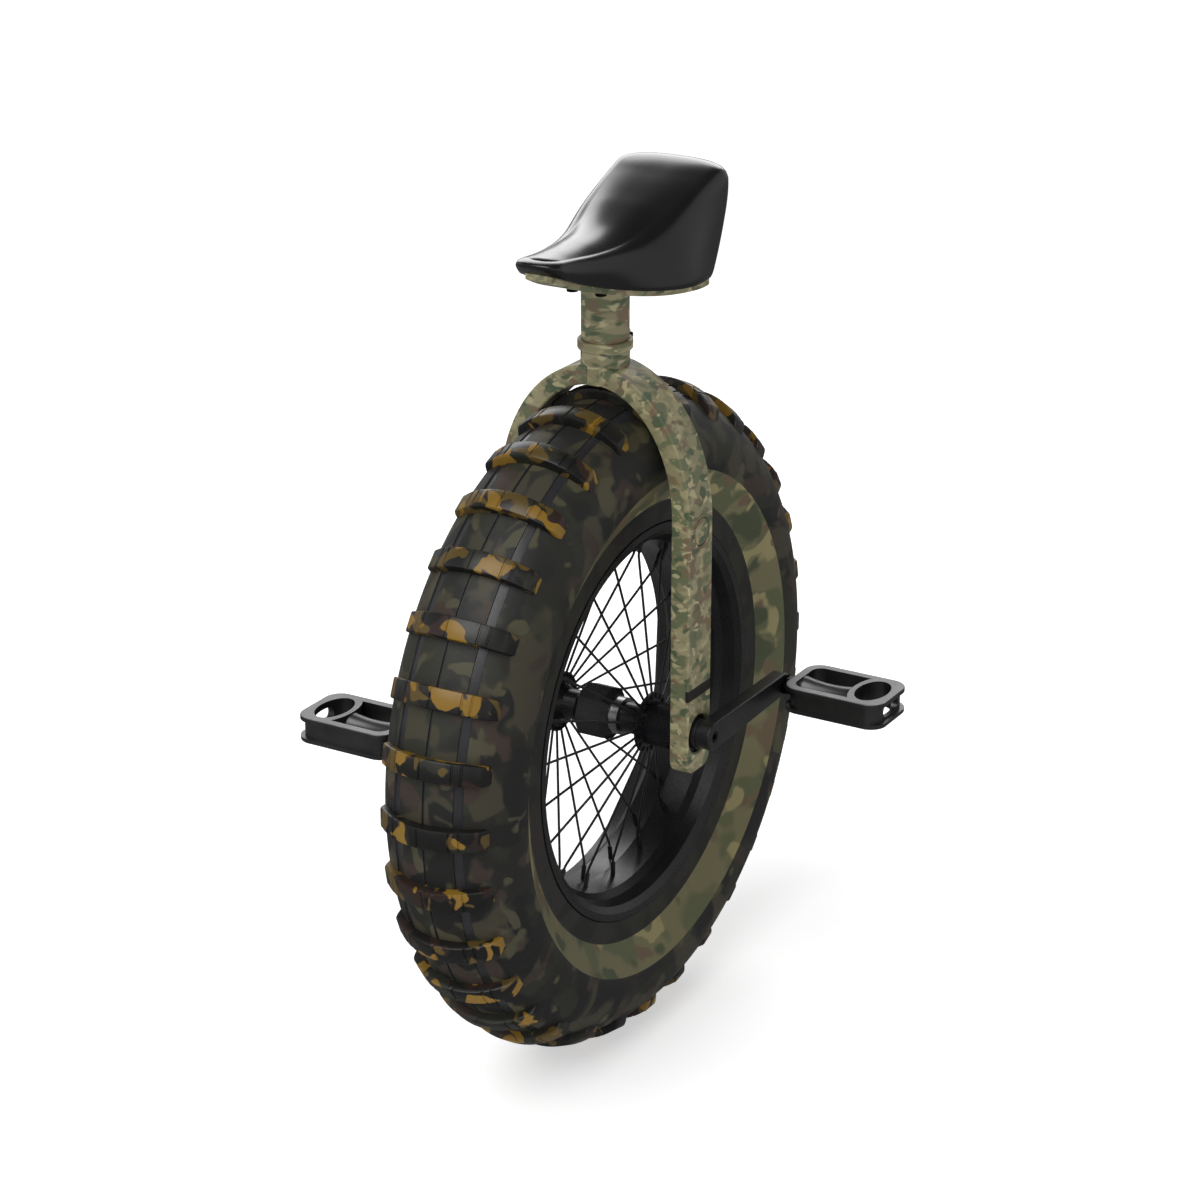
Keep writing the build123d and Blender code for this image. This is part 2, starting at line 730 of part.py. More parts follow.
def saddle_body(inset):
    """Closed solid: the side view and the plan view, drawn in towards the top, intersected."""
    with BuildPart() as body:
        with BuildSketch(side_view):
            add(side_profile(inset))
        extrude(amount=body_reach, both=True)
        with BuildSketch(Plane.XY.offset(saddle_low)):
            add(plan_outline(inset, saddle_back))
        with BuildSketch(Plane.XY.offset(axle_z + saddle_floor + saddle_height)):
            add(plan_outline(inset, saddle_back, top_half_widths))
        loft(mode=Mode.INTERSECT)
    return body.part


def under_band(drop_top, drop_bottom, front, rear):
    """Curved slab between two drops below the underside, wider than the saddle."""
    with BuildPart() as band:
        with BuildSketch(side_view):
            with BuildLine():
                underside_curve(rear, front, drop_top)
                Line((front, underside(front, drop_top)), (front, underside(front, drop_bottom)))
                underside_curve(rear, front, drop_bottom)
                Line((rear, underside(rear, drop_top)), (rear, underside(rear, drop_bottom)))
            make_face()
        extrude(amount=body_reach, both=True)
    return band.part


bolt_places = [
    (x, y) for x in (-saddle_bolt_x, saddle_bolt_x) for y in (-saddle_bolt_y, saddle_bolt_y)
]
saddle_bolt_r = 3.0
saddle_bolt_head_r = 5.0
bolt_head_height = 4.0
bolt_head_sink = 1.5  # how far the plate's counterbore takes the head
bolt_tip = 11.0  # into the pan, from the head's upper face
bolt_room = 12.0  # length of the clearance cuts, each way


def bolt_tools(shank, head, head_from, tip):
    """Upright cylinders at the four saddle bolts: a shank over a wider head."""
    with BuildPart() as tools:
        for x, y in bolt_places:
            seat = underside(x, plate_thickness) + bolt_head_sink
            with BuildSketch(Plane((x, y, seat + head_from))):
                Circle(head)
            extrude(amount=-head_from)
            with BuildSketch(Plane((x, y, seat))):
                Circle(shank)
            extrude(amount=tip)
    return tools.part


core = saddle_body(cover_thickness)
pan_band = under_band(plate_thickness, -cover_thickness - pan_thickness, 140, -140)
bolt_clearance = bolt_tools(saddle_bolt_r + clear, saddle_bolt_head_r + clear, -bolt_room, bolt_room)

with BuildPart() as saddle_cover:
    add(saddle_body(0))
    add(core, mode=Mode.SUBTRACT)
    add(bolt_clearance, mode=Mode.SUBTRACT)
save(saddle_cover, "saddle_cover")

with BuildPart() as saddle_pan:
    add(core)
    add(pan_band, mode=Mode.INTERSECT)
    add(bolt_tools(saddle_bolt_r + running, saddle_bolt_r, -bolt_room, bolt_room), mode=Mode.SUBTRACT)
save(saddle_pan, "saddle_pan")

with BuildPart() as saddle_foam:
    add(core)
    add(pan_band, mode=Mode.SUBTRACT)
    add(bolt_clearance, mode=Mode.SUBTRACT)
save(saddle_foam, "saddle_foam")

with BuildPart() as saddle_plate:
    with BuildSketch(Plane.XY.offset(saddle_low)):
        add(plan_outline(plate_inset, saddle_rear))
    extrude(amount=saddle_height)
    add(under_band(0, plate_thickness, saddle_nose - 6, saddle_rear + 4), mode=Mode.INTERSECT)
    add(bolt_clearance, mode=Mode.SUBTRACT)
save(saddle_plate, "saddle_plate")

with BuildPart() as saddle_bolts:
    add(bolt_tools(saddle_bolt_r, saddle_bolt_head_r, -bolt_head_height, bolt_tip))
    for x, y in bolt_places:
        head_face = underside(x, plate_thickness) + bolt_head_sink - bolt_head_height
        with BuildSketch(Plane((x, y, head_face))):
            RegularPolygon(2.6, 6)
        extrude(amount=2.5, mode=Mode.SUBTRACT)
save(saddle_bolts, "saddle_bolts")

post_bore = neck_bore - running - post_wall
post_length = post_show + 2 * plate_thickness  # cut back to the plate's underside
with BuildPart() as seatpost:
    with BuildSketch(Plane.XY.offset(neck_end)):
        Circle(post_r)
    extrude(amount=post_length)
    add(under_band(plate_thickness, -2 * post_length, 60, -60), mode=Mode.SUBTRACT)
    with BuildSketch(Plane.XY.offset(neck_end - post_insert)):
        Circle(neck_bore - running)
    extrude(amount=post_insert)
    with BuildSketch(Plane.XY.offset(neck_end - post_insert)):
        Circle(post_bore)
    extrude(amount=post_insert + post_length, mode=Mode.SUBTRACT)
save(seatpost, "seatpost")

# ================= cranks =================
bolt_head_r = 5.0
for name, side in sides.items():
    turn = radians(crank_angle)
    pedal_axle = axle + Vector(-cos(turn), 0, sin(turn)) * side * crank_length
    face = Plane(
        origin=axle + Vector(0, side * crank_inner, 0),
        x_dir=(-side * cos(turn), 0, side * sin(turn)), z_dir=(0, side, 0),
    )
    with BuildPart() as crank:
        with BuildSketch(face):
            with BuildLine():
                CenterArc((0, 0), crank_root_r, 0, 360)
                CenterArc((crank_length, 0), crank_tip_r, 0, 360)
            make_hull()
        extrude(amount=crank_thickness)
        fillet(crank.edges().group_by(Axis.Y)[-1 if side > 0 else 0], crank_edge)
        with BuildSketch(section(side)):
            ring_profile(0, crank_boss_r, bearing_outer_face + 1.8, crank_inner)
            ring_profile(0, spindle_r + 2.5, bearing_outer_face, bearing_outer_face + 1.8)
        revolve(axis=wheel_axis)
        with BuildSketch(facing_out(side, bearing_outer_face)):
            Rectangle(spindle_square, spindle_square)
        extrude(amount=square_end + 0.2 - bearing_outer_face, mode=Mode.SUBTRACT)
        with BuildSketch(section(side)):
            ring_profile(0, bolt_r + clear, square_end, crank_outer + 1)
            ring_profile(0, bolt_head_r + clear, crank_outer - 4.2, crank_outer + 1)
        revolve(axis=wheel_axis, mode=Mode.SUBTRACT)
        with BuildSketch(face):
            with Locations((crank_length, 0)):
                Circle(pedal_thread_r)
        extrude(amount=crank_thickness, mode=Mode.SUBTRACT)
    save(crank, f"crank_{name}")

    with BuildPart() as crank_bolt:
        with BuildSketch(section(side)):
            ring_profile(0, bolt_r, square_end - 22, crank_outer - 4.2)
            ring_profile(0, bolt_head_r, crank_outer - 4.2, crank_outer - 0.4)
        revolve(axis=wheel_axis)
        with BuildSketch(facing_out(side, crank_outer - 0.4)):
            RegularPolygon(2.9, 6)
        extrude(amount=-2.6, mode=Mode.SUBTRACT)
    save(crank_bolt, f"crank_bolt_{name}")

    # ---- pedal: local x runs outward from the pedal's inner end, z is up ----
    start = Vector(pedal_axle.X, side * pedal_inner, pedal_axle.Z)
    pedal_line = Axis(start, (0, 1, 0))
    level = Plane(origin=start, x_dir=(0, side, 0), z_dir=(0, 0, 1))
    upright = Plane(origin=start, x_dir=(0, side, 0), z_dir=(side, 0, 0))
    with BuildPart() as pedal_frame:
        for low in (-pedal_height / 2, pedal_height / 2 - pedal_plate):
            with BuildSketch(level.offset(low)):
                with Locations((pedal_length / 2, 0)):
                    RectangleRounded(pedal_length, pedal_depth, pedal_corner_r)
            extrude(amount=pedal_plate)
        for face in (Axis.Z, -Axis.Z):
            fillet(pedal_frame.faces().sort_by(face)[-1].edges(), pedal_edge)
        with BuildSketch(level.offset(-pedal_height / 2)):
            with Locations((pedal_length / 2, 0)):
                RectangleRounded(
                    pedal_length - 2 * pedal_groove, pedal_depth - 2 * pedal_groove,
                    pedal_corner_r - pedal_groove,
                )
        extrude(amount=pedal_height)
        with BuildSketch(level.offset(-pedal_height / 2)):
            with Locations(((window_centre + 8) / 2, 0)):
                RectangleRounded(window_centre - 8, 2 * window_y + 2, 10)
            with Locations((window_centre, 0)):
                Ellipse(window_x + bridge, window_y + 10, mode=Mode.SUBTRACT)
                Ellipse(window_x, window_y)
        extrude(amount=pedal_height, mode=Mode.SUBTRACT)
        with BuildSketch(upright):
            with BuildLine():
                Polyline((6, 0), (6, barrel_end_r), (10, barrel_end_r))
                ThreePointArc((10, barrel_end_r), (33, barrel_waist_r), (bridge_at, barrel_end_r))
                Polyline((bridge_at, barrel_end_r), (bridge_at, 0), (6, 0))
            make_face()
        revolve(axis=pedal_line)
        with BuildSketch(upright):
            ring_profile(0, bush_r, -1, inner_bush[1])
            ring_profile(0, pedal_shaft_r + 0.6, inner_bush[1], outer_bush[0])
            ring_profile(0, bush_r, outer_bush[0], bridge_at + 5)
        revolve(axis=pedal_line, mode=Mode.SUBTRACT)
        with BuildSketch(facing_out(side, pedal_inner + pedal_length - 12, pedal_axle)):
            SlotOverall(*end_slot)
        extrude(amount=20, mode=Mode.SUBTRACT)
    save(pedal_frame, f"pedal_frame_{name}")

    with BuildPart() as pedal_bushes:
        for low, high in (inner_bush, outer_bush):
            with BuildSketch(upright):
                ring_profile(pedal_shaft_r + running, bush_r, low, high)
            revolve(axis=pedal_line)
    save(pedal_bushes, f"pedal_bushes_{name}")

    with BuildPart() as dust_cap:
        with BuildSketch(upright):
            ring_profile(0, bush_r, bridge_at + 1, bridge_at + 3)
        revolve(axis=pedal_line)
    save(dust_cap, f"pedal_cap_{name}")

    with BuildPart() as pedal_spindle:
        with BuildSketch(upright):
            ring_profile(0, pedal_thread_r, 1 - pedal_clear - crank_thickness, -pedal_clear)
            ring_profile(0, 9.5, -pedal_clear, 2 - pedal_clear)
            ring_profile(0, pedal_shaft_r, -gap, outer_bush[1] + gap)
            ring_profile(0, 4, outer_bush[1] + gap, outer_bush[1] + 6)
        revolve(axis=pedal_line)
        with BuildSketch(facing_out(side, crank_outer + 2, pedal_axle)):
            RegularPolygon(8.6, 6)
        extrude(amount=pedal_clear - 2 - gap)
    save(pedal_spindle, f"pedal_spindle_{name}")

    with BuildPart() as pedal_nut:
        with BuildSketch(facing_out(side, pedal_inner + outer_bush[1] + gap, pedal_axle)):
            RegularPolygon(7, 6)
            Circle(4, mode=Mode.SUBTRACT)
        extrude(amount=5)
    save(pedal_nut, f"pedal_nut_{name}")
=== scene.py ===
"""A unicycle with a balloon tyre, a two-legged flat-bar fork and a banana saddle."""

import math

import bmesh
import bpy
import numpy as np
from mathutils import Matrix, Vector


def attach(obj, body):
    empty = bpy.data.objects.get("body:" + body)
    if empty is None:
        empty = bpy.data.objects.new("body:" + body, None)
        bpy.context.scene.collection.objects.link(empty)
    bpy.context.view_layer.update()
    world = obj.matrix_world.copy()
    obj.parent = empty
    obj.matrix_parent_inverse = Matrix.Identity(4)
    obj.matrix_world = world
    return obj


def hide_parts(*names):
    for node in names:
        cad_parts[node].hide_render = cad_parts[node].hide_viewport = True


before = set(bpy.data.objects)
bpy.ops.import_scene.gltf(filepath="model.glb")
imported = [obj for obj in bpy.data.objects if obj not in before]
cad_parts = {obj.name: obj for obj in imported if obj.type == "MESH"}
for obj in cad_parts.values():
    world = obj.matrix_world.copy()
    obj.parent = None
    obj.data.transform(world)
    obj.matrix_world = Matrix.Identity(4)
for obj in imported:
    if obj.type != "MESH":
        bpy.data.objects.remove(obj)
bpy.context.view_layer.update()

# ================= tyre =================
# A balloon tyre of moulded rubber, 127 mm wide. A printed camouflage film was moulded in, so
# the pattern is flat and satin. A cone-shaped band of lighter print runs between two creases,
# and a parting line and two shallow channels run round the tread.
wheel_r = 305.0  # over the lugs
axle = np.array([0.0, 0.0, wheel_r])
centre_r = 243.0  # radius from the axle at the tyre's widest place
carcass_half, carcass_rise = 63.5, 52.5
cavity_half, cavity_rise = 57.5, 44.5
band_outer_r, band_inner_r = 231.0, 203.0
crown_end = math.acos((band_outer_r - centre_r) / carcass_rise)  # the crease at the band's edge
channel_turn = math.radians(28.0)
channel_half = 4.0 / 60.0  # half of 8 mm on a section radius of about 60 mm
seam_half = 1.0 / carcass_half
groove_depth = 1.2
groove_side = 0.004  # the turn that a groove's steep side takes up
tread_zone, channel_zone, band_zone, inner_zone = range(4)


def linear(hex_colour):
    """A colour in linear light, with an alpha of one, from an sRGB hex value."""
    srgb = [int(hex_colour[i:i + 2], 16) / 255 for i in (1, 3, 5)]
    return [c / 12.92 if c <= 0.04045 else ((c + 0.055) / 1.055) ** 2.4 for c in srgb] + [1.0]


def add(tree, kind, inputs=None, **settings):
    """Add a node, set its properties, and give each named input a value or a link."""
    made = tree.nodes.new(kind)
    for key, value in settings.items():
        setattr(made, key, value)
    for key, value in (inputs or {}).items():
        if isinstance(value, bpy.types.NodeSocket):
            tree.links.new(value, made.inputs[key])
        else:
            made.inputs[key].default_value = value
    return made


def new_material(name, **shader):
    """A material with one Principled shader; the keywords are its own sockets' values."""
    material = bpy.data.materials.new(name)
    material.use_nodes = True
    tree = material.node_tree
    principled = tree.nodes["Principled BSDF"]
    for key, value in shader.items():
        principled.inputs[key.replace("_", " ")].default_value = value
    place = add(tree, "ShaderNodeTexCoord").outputs["Object"]
    return material, tree, principled, place


def roughen(tree, principled, place, grain_mm, relief_mm, low, high):
    """Fine relief and uneven gloss from one noise, whose grain is a size in millimetres."""
    noise = add(tree, "ShaderNodeTexNoise", {
        "Vector": place, "Scale": 1000 / grain_mm, "Detail": 3.0, "Roughness": 0.55})
    gloss = add(tree, "ShaderNodeMapRange", {
        "Value": noise.outputs[0], "From Min": 0.3, "From Max": 0.7,
        "To Min": low, "To Max": high})
    bump = add(tree, "ShaderNodeBump", {
        "Height": noise.outputs[0], "Strength": 0.6, "Distance": relief_mm / 1000})
    tree.links.new(gloss.outputs[0], principled.inputs["Roughness"])
    tree.links.new(bump.outputs[0], principled.inputs["Normal"])


def camouflage(tree, place, ground, patches, stretch=(1, 1, 1)):
    """Printed patches over a ground colour, each a noise field cut at a level.

    A patch is (colour, size in mm, level, edge softness, bend). All of them are stretched
    along x, y and z by the same three factors.
    """
    colour = None
    for i, (paint, size, level, soft, bend) in enumerate(patches):
        moved = add(tree, "ShaderNodeMapping", {
            "Vector": place, "Location": (0.37 * i + 0.11, 0.23 * i, -0.19 * i),
            "Scale": [1 / s for s in stretch]})
        noise = add(tree, "ShaderNodeTexNoise", {
            "Vector": moved.outputs[0], "Scale": 1000 / size, "Detail": 1.6,
            "Roughness": 0.5, "Distortion": bend})
        cut = add(tree, "ShaderNodeMapRange", {
            "Value": noise.outputs[0], "From Min": level - soft, "From Max": level + soft},
            interpolation_type="SMOOTHSTEP")
        mix = add(tree, "ShaderNodeMix", {"Factor": cut.outputs[0]}, data_type="RGBA")
        if colour is None:
            mix.inputs[6].default_value = linear(ground)
        else:
            tree.links.new(colour, mix.inputs[6])
        mix.inputs[7].default_value = linear(paint)
        colour = mix.outputs[2]
    return colour


def printed_rubber(name, ground, patches, grain, gloss):
    """Moulded rubber with a printed film: a dielectric with a satin skin and fine grain."""
    material, tree, principled, place = new_material(name, IOR=1.5)
    tree.links.new(camouflage(tree, place, ground, patches), principled.inputs["Base Color"])
    roughen(tree, principled, place, grain, 0.12, *gloss)
    return material


def skin(name, grid, materials, zones=None, wrap=(True, True), crease=35.0):
    """Quads between neighbouring rows and columns of a grid of points in millimetres.

    A grid of shape (copies, rows, columns, 3) gives as many separate closed shells. zones
    gives each row its material's place in the list.
    """
    grid = grid if grid.ndim == 4 else grid[None]
    copies, rows, columns = grid.shape[:3]
    row, column = np.meshgrid(
        np.arange(rows if wrap[0] else rows - 1),
        np.arange(columns if wrap[1] else columns - 1), indexing="ij")
    down, right = (row + 1) % rows, (column + 1) % columns
    quads = np.stack([row * columns + column, down * columns + column,
                      down * columns + right, row * columns + right], -1).reshape(-1, 4)
    starts = np.arange(copies)[:, None, None] * rows * columns
    quads = (quads[None] + starts).reshape(-1, 4)
    mesh = bpy.data.meshes.new(name)
    mesh.from_pydata((grid.reshape(-1, 3) / 1000).tolist(), [], quads.tolist())
    for material in materials:
        mesh.materials.append(material)
    if zones is not None:
        mesh.polygons.foreach_set("material_index", np.tile(zones[row].ravel(), copies))
    shell = bmesh.new()
    shell.from_mesh(mesh)
    bmesh.ops.remove_doubles(shell, verts=shell.verts, dist=2e-6)
    bmesh.ops.dissolve_degenerate(shell, edges=shell.edges, dist=1e-7)
    bmesh.ops.recalc_face_normals(shell, faces=shell.faces)
    shell.to_mesh(mesh)
    shell.free()
    mesh.shade_smooth()
    mesh.set_sharp_from_angle(angle=math.radians(crease))
    piece = bpy.data.objects.new(name, mesh)
    bpy.context.scene.collection.objects.link(piece)
    return piece


def turned(lateral, radius, turn):
    """Points of a profile (sideways, from the axle) turned about the axle by each angle."""
    lateral, radius, turn = np.broadcast_arrays(lateral, radius, turn)
    return np.stack([radius * np.cos(turn), lateral, radius * np.sin(turn)], -1) + axle


def tyre_section():
    """Half of the tyre's section, from the crown down to the bead and back inside the cavity.

    The crown is an ellipse whose radius drops by the groove depth over the parting line and
    the channel; straight runs make the cone band, the inner wall and the bead; a smaller
    ellipse is the cavity. Returns (sideways, radius, zone) for each point.
    """
    edges = np.array([seam_half, channel_turn - channel_half, channel_turn + channel_half])
    beside = [edges + steps * groove_side for steps in (-3, -1, 1, 3)]
    t = np.unique(np.concatenate([np.linspace(0, crown_end, 40)] + beside))
    t = t[t >= 0]
    in_groove = (t < seam_half) | (np.abs(t - channel_turn) < channel_half)
    sunk = groove_depth * in_groove
    crown = np.stack([
        (carcass_half - sunk) * np.sin(t), centre_r + (carcass_rise - sunk) * np.cos(t),
        np.where(in_groove, channel_zone, tread_zone)], -1)
    walls = np.array([
        [61.55, 230.4], [59.4, 227], [53, 216.4], [47, 206.4], [45.3, 203.5], [45.0, 202.8],
        [44.9, 200], [44.7, 190], [44.5, 183.2], [43.6, 182.4], [41.7, 182.3], [41.7, 177.4],
        [38.4, 173], [34, 173], [36, 182], [39, 202]])
    wall_zones = np.where(walls[:, 1:] > band_inner_r, band_zone, inner_zone)
    cavity_foot = math.acos((band_outer_r + 1 - centre_r) / cavity_rise)
    s = np.linspace(cavity_foot, 0, 14)
    cavity = np.stack([cavity_half * np.sin(s), centre_r + cavity_rise * np.cos(s),
                       np.full(len(s), inner_zone)], -1)
    return np.concatenate([crown, np.concatenate([walls, wall_zones], 1), cavity])


half = tyre_section()
other = half[::-1][1:-1] * [-1, 1, 1]
section = np.concatenate([half, other])
# a row's zone holds for the quads up to the next row, so the mirrored half takes its neighbour's
zones = section[:, 2].astype(int)
zones[len(half):] = np.roll(zones, -1)[len(half):]
turns = np.linspace(0, 2 * np.pi, 320, endpoint=False)
tyre_points = turned(section[:, :1], section[:, 1:2], turns[None])

# dark woodland print: dull patches of 30 to 55 mm
tread_print = printed_rubber("tread_camouflage_rubber", "#22211b", [
    ("#282a1f", 55, 0.49, 0.03, 0.35),
    ("#3c3828", 44, 0.54, 0.025, 0.4),
    ("#1b1b1a", 46, 0.53, 0.025, 0.4),
    ("#392d25", 36, 0.60, 0.025, 0.4),
    ("#47442f", 30, 0.63, 0.02, 0.4),
], 0.9, (0.52, 0.66))
# the channels' floor is bare rubber, smoother than the print
channel_rubber = printed_rubber("bare_channel_rubber", "#232325", [
    ("#2c2c30", 30, 0.50, 0.15, 0.2),
], 0.7, (0.26, 0.36))
# the side band's lighter print, in patches of about 45 mm
band_print = printed_rubber("band_camouflage_rubber", "#6b6645", [
    ("#565a3a", 52, 0.50, 0.03, 0.3),
    ("#63533b", 46, 0.58, 0.03, 0.3),
    ("#434b30", 42, 0.60, 0.025, 0.35),
    ("#8a8156", 36, 0.61, 0.02, 0.45),
], 0.9, (0.45, 0.6))
# the wall under the band is nearly black
inner_print = printed_rubber("inner_wall_rubber", "#1c1c1b", [
    ("#26271f", 40, 0.50, 0.04, 0.4),
    ("#2a2521", 36, 0.58, 0.04, 0.4),
], 0.9, (0.42, 0.55))

tyre = skin("tyre_skin", tyre_points, [tread_print, channel_rubber, band_print, inner_print],
            zones=zones, crease=32.0)
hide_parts("tyre")
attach(tyre, "wheel")

# ================= tread lugs =================
# Thirty-two rubber bars moulded across the tread, 19 mm wide and 9.5 mm high at the crown,
# with rounded ends. The parting line and the channels' edges cross them as thin cuts.
lug_count = 32
lug_half_width = 9.5
lug_edge = 1.6
lug_top_half, lug_top_rise = 66.5, 62.0
lug_top_end = math.asin(46.0 / lug_top_half)  # the top reaches 46 mm each way
lug_foot_end = math.asin(51.0 / carcass_half)  # and the foot 51 mm
lug_cuts = [0.0, 27.5, -27.5, 34.8, -34.8]  # sideways, in line with the tyre's grooves
cut_depth = 0.9
cut_half = 0.017  # as a share of the top's half length, as are its corners' places
foot_sink = 2.0  # how far a lug's foot goes under the tread


def lug_points():
    """One bar as a tube of loops across the tread.

    Each loop joins a point on the bar's top ellipse to one just under the carcass, with the
    two long edges rounded; at the ends the top runs down the end face to the foot, and the
    bar narrows. The thin cuts lower the top.
    """
    cuts = np.arcsin(np.array(lug_cuts) / lug_top_half) / lug_top_end
    f = np.unique(np.concatenate(
        [np.linspace(-1, 1, 41)] + [cuts + d for d in (-0.022, -0.012, 0.012, 0.022)]))
    sunk = cut_depth * (np.abs(f[:, None] - cuts[None]).min(1) < cut_half)
    top = np.stack([(lug_top_half - sunk) * np.sin(f * lug_top_end),
                    centre_r + (lug_top_rise - sunk) * np.cos(f * lug_top_end)], -1)
    foot = np.stack([(carcass_half - foot_sink) * np.sin(f * lug_foot_end),
                     centre_r + (carcass_rise - foot_sink) * np.cos(f * lug_foot_end)], -1)
    end = np.array([[47.4, 287.1], [48.8, 285.6], [49.7, 283.2], [50.6, 278.5], [51.2, 273.5]])
    end_foot = np.repeat(foot[-1:], len(end), 0)
    flip = np.array([-1, 1])
    top = np.concatenate([end[::-1] * flip, top, end])
    foot = np.concatenate([end_foot * flip, foot, end_foot])
    slim = np.ones(len(top))
    slim[:5] = [0.80, 0.90, 0.95, 0.98, 0.995]
    slim[-5:] = slim[:5][::-1]
    down = foot - top
    length = np.linalg.norm(down, axis=1, keepdims=True)
    down = down / np.maximum(length, 1e-6)
    edge = np.minimum(lug_edge, 0.35 * length)
    w = lug_half_width * slim[:, None]
    sides = []
    for sign in (-1, 1):
        corner = [(w, foot), (w, top + down * edge * 3), (w, top + down * edge),
                  (w - 0.30 * edge, top + down * edge * 0.30), (w - edge, top)]
        loop = [np.concatenate([point, sign * width], 1) for width, point in corner]
        sides += loop if sign < 0 else loop[::-1]
    loops = np.stack(sides, 1)
    first = np.repeat(loops[:1].mean(1, keepdims=True), loops.shape[1], 1)
    last = np.repeat(loops[-1:].mean(1, keepdims=True), loops.shape[1], 1)
    return np.concatenate([first, loops, last])


one = lug_points()
lug_turns = np.linspace(0, 2 * np.pi, lug_count, endpoint=False)[:, None, None]
lugs_grid = turned(one[..., 0], one[..., 1], lug_turns + one[..., 2] / wheel_r)

# black rubber with a bold print: mustard blotches of about 20 mm with hard, dark-rimmed edges
lug_print = printed_rubber("lug_camouflage_rubber", "#151413", [
    ("#2d1f1a", 36, 0.54, 0.012, 0.5),
    ("#24251d", 34, 0.58, 0.012, 0.5),
    ("#57451a", 28, 0.575, 0.008, 0.6),
    ("#84641a", 28, 0.595, 0.008, 0.6),
], 0.9, (0.32, 0.44))
lugs = skin("tread_bars", lugs_grid, [lug_print], wrap=(False, True), crease=40.0)
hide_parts("tread_lugs")
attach(lugs, "wheel")

# ================= rim, spokes and valve =================
# A deep single-wall rim of rolled aluminium, hard-anodised black, with forty black steel
# spokes and nipples. The inner tube's valve comes through it between two nipples.


def dress(material, *names):
    """Give carried-over pieces of the frame a finish, in their own material slots."""
    for name in names:
        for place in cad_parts[name].material_slots:
            place.material = material


def coated_metal(name, colour, worn, grain, relief, gloss, metallic=0.0, **shader):
    """A coat on metal: an even colour that lightens a little where hands and grit polish it."""
    material, tree, principled, place = new_material(name, Metallic=metallic, **shader)
    smudge = add(tree, "ShaderNodeTexNoise", {"Vector": place, "Scale": 1000 / 35, "Detail": 4.0})
    cut = add(tree, "ShaderNodeMapRange", {
        "Value": smudge.outputs[0], "From Min": 0.45, "From Max": 0.75})
    mix = add(tree, "ShaderNodeMix", {"Factor": cut.outputs[0]}, data_type="RGBA")
    mix.inputs[6].default_value = linear(colour)
    mix.inputs[7].default_value = linear(worn)
    tree.links.new(mix.outputs[2], principled.inputs["Base Color"])
    roughen(tree, principled, place, grain, relief, *gloss)
    return material


rim_anodised = coated_metal("black_anodised_aluminium", "#131315", "#1c1c1f", 0.8, 0.02, (0.24, 0.36))
spoke_steel = coated_metal("black_oxide_steel", "#161617", "#202022", 0.6, 0.01, (0.32, 0.42))
tube_rubber = coated_metal("butyl_rubber", "#1a1a1a", "#232323", 0.9, 0.05, (0.5, 0.65))
brass = coated_metal("nickel_plated_brass", "#b3a88a", "#c9bfa2", 0.5, 0.01, (0.22, 0.34), 1.0)
dress(rim_anodised, "rim", "rim_tape")
dress(spoke_steel, "spokes_left", "spokes_right", "nipples_left", "nipples_right")
dress(tube_rubber, "inner_tube", "valve_stem", "valve_cap")
dress(brass, "valve_nut")

# ================= hub and bearings =================
# A turned aluminium hub shell on a steel spindle. Both are black; a clamp-on sleeve with
# eight flats sits beside a plain ring, whose light grey steel is a painted highlight on the
# black hub. Deep-groove steel bearings fill the fork's feet.
hub_black = coated_metal("black_hub_lacquer", "#121214", "#1d1d20", 0.8, 0.02, (0.2, 0.32))
bearing_steel = coated_metal("ground_bearing_steel", "#9a9c9e", "#b0b2b4", 0.4, 0.005, (0.16, 0.26), 1.0)
# the ring's light grey steel is a painted highlight, not the hub's own colour
highlight_ring_steel = coated_metal("bright_steel_painted_highlight", "#8b8b8c", "#a6a6a6", 0.4, 0.005, (0.2, 0.3), 1.0)
nylon = coated_metal("moulded_nylon", "#26231f", "#2f2b26", 0.8, 0.03, (0.4, 0.5))
dress(hub_black, "hub_shell", "hub_sleeve", "spindle", "hub_spacer_left", "hub_spacer_right")
dress(highlight_ring_steel, "hub_ring")
for side in ("left", "right"):
    dress(bearing_steel, f"bearing_inner_{side}", f"bearing_outer_{side}", f"bearing_balls_{side}")
    dress(spoke_steel, f"bearing_circlip_{side}")
    dress(nylon, f"bearing_cage_{side}")

# ================= fork, collar and seatpost =================
# Two bent steel flat bars welded to a short neck tube. A light woodland print was dipped on
# over primer, with small soft-edged patches, and lacquered matt.


def printed_paint(name, stretch):
    """Water-transfer print on painted steel: khaki ground, small soft patches, matt lacquer."""
    material, tree, principled, place = new_material(name, IOR=1.5)
    colour = camouflage(tree, place, "#857f5f", [
        ("#978f6d", 17, 0.52, 0.05, 0.3),
        ("#656b4d", 15, 0.54, 0.05, 0.3),
        ("#74634c", 15, 0.59, 0.045, 0.3),
        ("#4f5c42", 13, 0.61, 0.04, 0.35),
        ("#a9a17c", 9, 0.63, 0.04, 0.4),
    ], stretch)
    tree.links.new(colour, principled.inputs["Base Color"])
    roughen(tree, principled, place, 0.7, 0.03, 0.42, 0.55)
    return material


leg_print = printed_paint("camouflage_print_on_steel", (1.1, 1.1, 0.8))
post_print = printed_paint("camouflage_print_on_tube", (1.9, 1.9, 0.8))
# dark brown-black strips fill the legs' slots
slot_strip_dark = coated_metal("dark_slot_strip", "#221d1a", "#2c2622", 0.8, 0.05, (0.5, 0.62))
bolt_steel = coated_metal("black_bolt_steel", "#1b1b1c", "#2b2b2c", 0.5, 0.01, (0.28, 0.4), 1.0)
dress(leg_print, "fork_leg_left", "fork_leg_right", "leg_plug_left", "leg_plug_right",
      "saddle_plate")
dress(post_print, "neck_tube", "seat_clamp", "seatpost")
dress(slot_strip_dark, "leg_strip_left", "leg_strip_right")
dress(bolt_steel, "clamp_bolt", "clamp_nut", "saddle_bolts")

